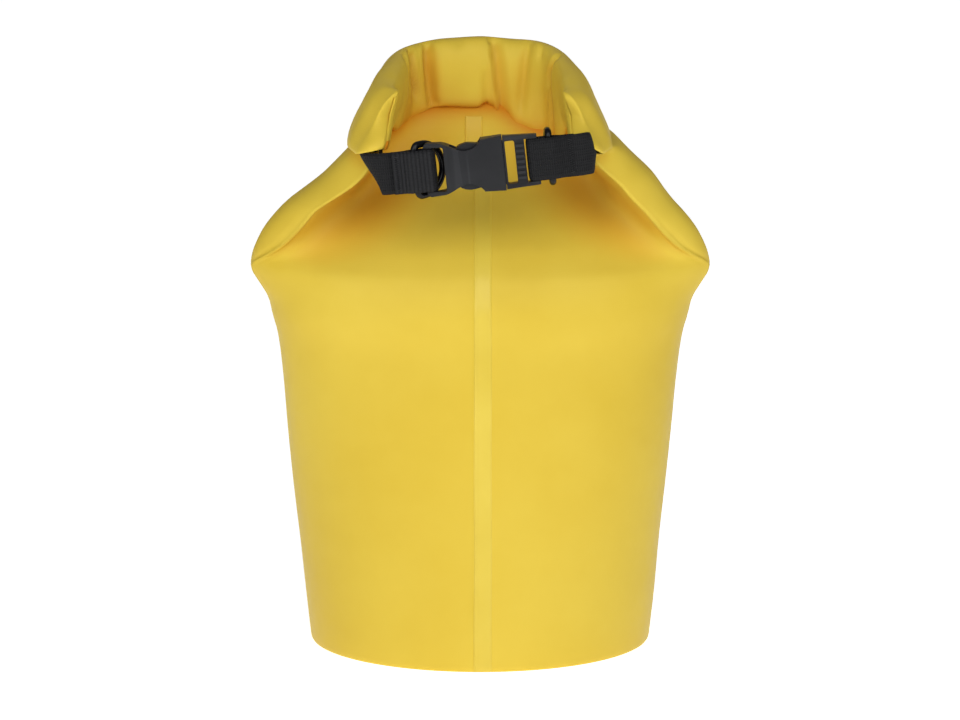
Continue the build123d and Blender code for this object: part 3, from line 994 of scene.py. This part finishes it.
def strap_mesh(name, route, rib_pitch, rib_range, twist, materials):
    """A flat strap along a route in the strap's plan, with ribs over a range of its length.

    twist(place, up) gives a point's shift along, back and up, and how much of the width stays.
    """
    half = WEBBING_WIDTH / 2
    lengths = [0.0]
    for a, b in zip(route, route[1:]):
        lengths.append(lengths[-1] + (b - a).length)
    rows = []
    for i, here in enumerate(route):
        before = route[max(0, i - 1)]
        after = route[min(len(route) - 1, i + 1)]
        run = (after - before).normalized()
        side = Vector((-run.y, run.x))
        length = lengths[i]
        rib = 0.0
        if rib_range[0] <= length <= rib_range[1]:
            rib = RIB_HEIGHT * abs(math.sin(math.pi * length / rib_pitch)) - RIB_SINK
        ring = []
        profile = []
        for j in range(ACROSS):
            v = -1.0 + 2.0 * j / (ACROSS - 1)
            edge = 1.0 - abs(v) ** 10
            profile.append((v * half, WEBBING_THICKNESS / 2 * (0.35 + 0.65 * edge)))
        for sign in (1, -1):
            order = profile if sign > 0 else profile[::-1]
            for up, thick in order:
                flat = here + side * (sign * (thick + rib))
                along, back, rise, kept = twist(i / (len(route) - 1), up)
                ring.append(strap_point(flat.x + along, flat.y + back, up * kept + rise))
        rows.append(ring)
    ring_count = len(rows[0])
    points = [point for ring in rows for point in ring]
    faces = grid_faces(len(rows), ring_count, closed=True)
    faces.append(tuple(range(ring_count))[::-1])
    faces.append(tuple(range((len(rows) - 1) * ring_count, len(rows) * ring_count)))
    made = new_mesh(name, points, faces, materials)
    mesh = made.data
    layer = mesh.uv_layers.new(name="strap")
    ups = list(range(ACROSS)) + list(range(ACROSS))[::-1]
    for polygon in mesh.polygons:
        for loop_index in polygon.loop_indices:
            vertex = mesh.loops[loop_index].vertex_index
            row, place = divmod(vertex, ring_count)
            layer.data[loop_index].uv = (lengths[row], ups[place] / (ACROSS - 1) * WEBBING_WIDTH)
        start = lengths[min(polygon.vertices) // ring_count]
        if len(polygon.vertices) == 4 and rib_range[0] <= start <= rib_range[1]:
            polygon.material_index = 1
    return made


SPREAD = 3.3               # distance of a layer from the middle plane where it passes a bar
SEWN = 0.95                # and where the two layers are sewn together
SOCKET_BAR = -43.5         # the socket's bar, along the strap
END_BAR = 17.7             # the plug's end bar


def bar_turn(bar_x, away, from_side, steps=9):
    """Points round a bar, from one layer to the other."""
    made = []
    for i in range(1, steps):
        angle = math.pi * i / steps
        made.append((bar_x - away * SPREAD * math.sin(angle), from_side * SPREAD * math.cos(angle)))
    return made


# each strap's route: out of the roll's end, past the ring, round the buckle's bar and back
LEFT_ROUTE = [
    (-71.0, 23.0), (-75.2, 18.5), (-77.4, 13.5), (-77.6, 8.5), (-75.0, 4.0), (-70.0, 1.2),
    (-64.6, SEWN), (-61.0, SEWN), (-58.0, 1.5), (-55.0, 3.0), (-51.6, SPREAD),
    (-47.0, SPREAD), (SOCKET_BAR, SPREAD),
    *bar_turn(SOCKET_BAR, -1, 1),
    (SOCKET_BAR, -SPREAD), (-47.0, -SPREAD), (-51.6, -SPREAD), (-55.0, -3.0),
    (-58.0, -1.5), (-61.0, -SEWN), (-65.6, -SEWN)]
RIGHT_ROUTE = [
    (47.0, 22.0), (50.4, 17.5), (52.6, 12.5), (53.6, 7.5), (51.8, 3.0), (47.6, 0.2),
    (42.8, -SEWN), (38.0, -SEWN), (34.7, -SEWN), (31.7, -2.1), (28.7, -SPREAD),
    (24.0, -SPREAD), (END_BAR, -SPREAD),
    *bar_turn(END_BAR, 1, -1),
    (END_BAR, SPREAD), (24.0, SPREAD), (28.7, SPREAD), (31.7, 2.1), (34.7, SEWN),
    (38.0, SEWN), (42.5, SEWN)]


def left_twist(place, up):
    """The left tail turns back on a slant and rises into the roll's end."""
    slant = smoothstep(0.02, 0.10, place) * fade(0.12, 0.30, place)
    climb = fade(0.0, 0.22, place)
    return ((0.019 * up * up - 0.73 * up) * slant, 0.0, 5.0 * climb, 1.0 - 0.34 * climb)


def right_twist(place, up):
    """The right tail narrows to a point as it turns back and rises into the roll's end."""
    slant = fade(0.06, 0.27, place)
    climb = fade(0.0, 0.20, place)
    return (-abs(up) * 0.45 * slant, 0.0, -2.6 * slant, 1.0 - 0.14 * slant - 0.26 * climb)


LEFT_STRAP_ROUTE = smooth_route(LEFT_ROUTE, 0.5)
RIGHT_STRAP_ROUTE = smooth_route(RIGHT_ROUTE, 0.5)


def route_length(route):
    return sum((b - a).length for a, b in zip(route, route[1:]))


LEFT_TOTAL = route_length(LEFT_STRAP_ROUTE)
LEFT_RIBS = (LEFT_TOTAL - 24.0, LEFT_TOTAL)   # the folded-back end is ribbed
LEFT_STRAP = strap_mesh(
    "left_strap", LEFT_STRAP_ROUTE, 2.35, LEFT_RIBS, left_twist, [WEAVE_FINE, WEAVE_RIB])
RIGHT_STRAP = strap_mesh(
    "right_strap", RIGHT_STRAP_ROUTE, 1.4, NO_RIBS, right_twist, [WEAVE_FINE, WEAVE_RIB])

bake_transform(LEFT_STRAP)
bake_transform(RIGHT_STRAP)
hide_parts("left_webbing")
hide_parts("right_webbing")


# ---- Bar tacks: real rows of zigzag thread on both faces of the sewn straps
THREAD_RADIUS = 0.28
THREAD_SIDES = 6
STITCHES = 30
TACK_REACH = 10.0          # half the tack's length across the strap
TACK_HALF = 1.1            # half the width of the zigzag
TACK_OFFSET = SEWN + WEBBING_THICKNESS / 2 + 0.22


def tack_mesh(name, middle_x):
    """A zigzag of thread on both faces of a strap."""
    points, faces = [], []
    for side in (-1, 1):
        path = []
        for i in range(STITCHES + 1):
            up = -TACK_REACH + 2 * TACK_REACH * i / STITCHES
            x = middle_x + (TACK_HALF if i % 2 else -TACK_HALF)
            path.append(strap_point(x, side * TACK_OFFSET, up))
        start = len(points)
        for i, p in enumerate(path):
            run = (path[min(i + 1, len(path) - 1)] - path[max(i - 1, 0)]).normalized()
            u = run.cross(STRAP_Y).normalized()
            for k in range(THREAD_SIDES):
                angle = math.tau * k / THREAD_SIDES
                points.append(p + (u * math.cos(angle) + STRAP_Y * math.sin(angle)) * THREAD_RADIUS)
        faces += grid_faces(len(path), THREAD_SIDES, start=start, closed=True)
        last = start + (len(path) - 1) * THREAD_SIDES
        faces.append(tuple(start + k for k in range(THREAD_SIDES))[::-1])
        faces.append(tuple(last + k for k in range(THREAD_SIDES)))
    return new_mesh(name, points, faces, [THREAD])


for tack_name, tack_x, tack_body, tack_node in (
        ("left_tack_thread", -62.4, "socket_half", "left_bar_tack"),
        ("right_tack_thread", 39.8, "plug_half", "right_bar_tack")):
    tack = tack_mesh(tack_name, tack_x)
    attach(tack, tack_body)
    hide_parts(tack_node)


# ---- CAD pieces that stay: rounded edges and their materials
def dress(node, material, rounding=0.0):
    """Give a CAD node its material and, if asked, small rounded edges."""
    piece = frame["nodes"][node]
    piece.data.materials.clear()
    piece.data.materials.append(material)
    if rounding:
        weld = piece.modifiers.new("weld", "WELD")
        weld.merge_threshold = 0.00001
        bevel = piece.modifiers.new("rounded", "BEVEL")
        bevel.width = rounding * MM
        bevel.segments = 3
        bevel.limit_method = "ANGLE"
        bevel.angle_limit = math.radians(32)
    for polygon in piece.data.polygons:
        polygon.use_smooth = True


dress("buckle_socket", BUCKLE_PLASTIC, 0.5)
dress("buckle_plug_frame", BUCKLE_PLASTIC, 0.35)
dress("upper_prong", BUCKLE_PLASTIC, 0.4)
dress("lower_prong", BUCKLE_PLASTIC, 0.4)
dress("left_d_ring", RING_PLASTIC)
dress("right_d_ring", RING_PLASTIC)
dress("base_disc", FABRIC, 0.3)
dress("base_weld_band", WELD, 0.25)
for core_name, core_offset, core_half, core_height, core_material, core_node in (
        ("hem_strip_front", 0.3, 0.5, 11.0, STIFFENER, "mouth_stiffener_front"),
        ("hem_strip_back", 1.8, 0.5, 11.0, STIFFENER, "mouth_stiffener_back"),
        ("hem_webbing", -1.5, 0.8, 12.5, WEAVE_FINE, "mouth_webbing")):
    core = core_strip(core_name, core_offset, core_half, core_height, core_material)
    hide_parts(core_node)

# ---- Stage, light and camera
# Stage lengths are metres.
FLOOR_HALF = 4.0


def pale_floor():
    """A floor that also gives off light, so that it stays white all over."""
    n = Nodes("pale_floor")
    n.shade({"Base Color": (0.93, 0.93, 0.93, 1), "Roughness": 0.9,
             "Emission Color": (1.0, 1.0, 1.0, 1), "Emission Strength": 0.78})
    points = [Vector((x, y, 0)) * FLOOR_HALF / MM for x, y in CORNERS]
    floor = new_mesh("floor", points, [(0, 1, 2, 3)], [n.material])


def area_light(name, place, aim, size, power):
    data = bpy.data.lights.new(name, "AREA")
    data.shape = "RECTANGLE"
    data.size, data.size_y = size
    data.energy = power
    lamp = bpy.data.objects.new(name, data)
    lamp.location = place
    lamp.rotation_euler = (Vector(aim) - Vector(place)).to_track_quat("-Z", "Y").to_euler()
    bpy.context.scene.collection.objects.link(lamp)


def soft_light():
    world = bpy.data.worlds.new("studio")
    world.use_nodes = True
    background = world.node_tree.nodes["Background"]
    background.inputs["Color"].default_value = (1.0, 1.0, 1.0, 1)
    background.inputs["Strength"].default_value = 0.12
    bpy.context.scene.world = world
    bpy.context.scene.view_settings.view_transform = "Standard"
    area_light("key", (-1.5, -1.9, 1.05), (0, 0, 0.24), (0.7, 1.2), 9.5)
    area_light("fill", (1.6, -1.9, 1.0), (0, 0, 0.24), (0.7, 1.2), 6.0)
    area_light("top", (0.1, -1.7, 1.5), (0, 0, 0.34), (2.8, 1.6), 34.0)
    area_light("back", (0.0, 2.3, 1.5), (0, 0, 0.2), (2.4, 1.4), 3.0)


def set_camera():
    aim = Vector((0.0, 0.0, 0.167))
    distance = 9.0
    width_seen = 0.568
    rise = math.radians(11.6)
    data = bpy.data.cameras.new("camera")
    data.sensor_width = 36.0
    data.lens = data.sensor_width * distance / width_seen
    camera = bpy.data.objects.new("camera", data)
    camera.location = aim + Vector((0, -math.cos(rise), math.sin(rise))) * distance
    camera.rotation_euler = (aim - camera.location).to_track_quat("-Z", "Y").to_euler()
    bpy.context.scene.collection.objects.link(camera)
    bpy.context.scene.camera = camera


pale_floor()
soft_light()
set_camera()
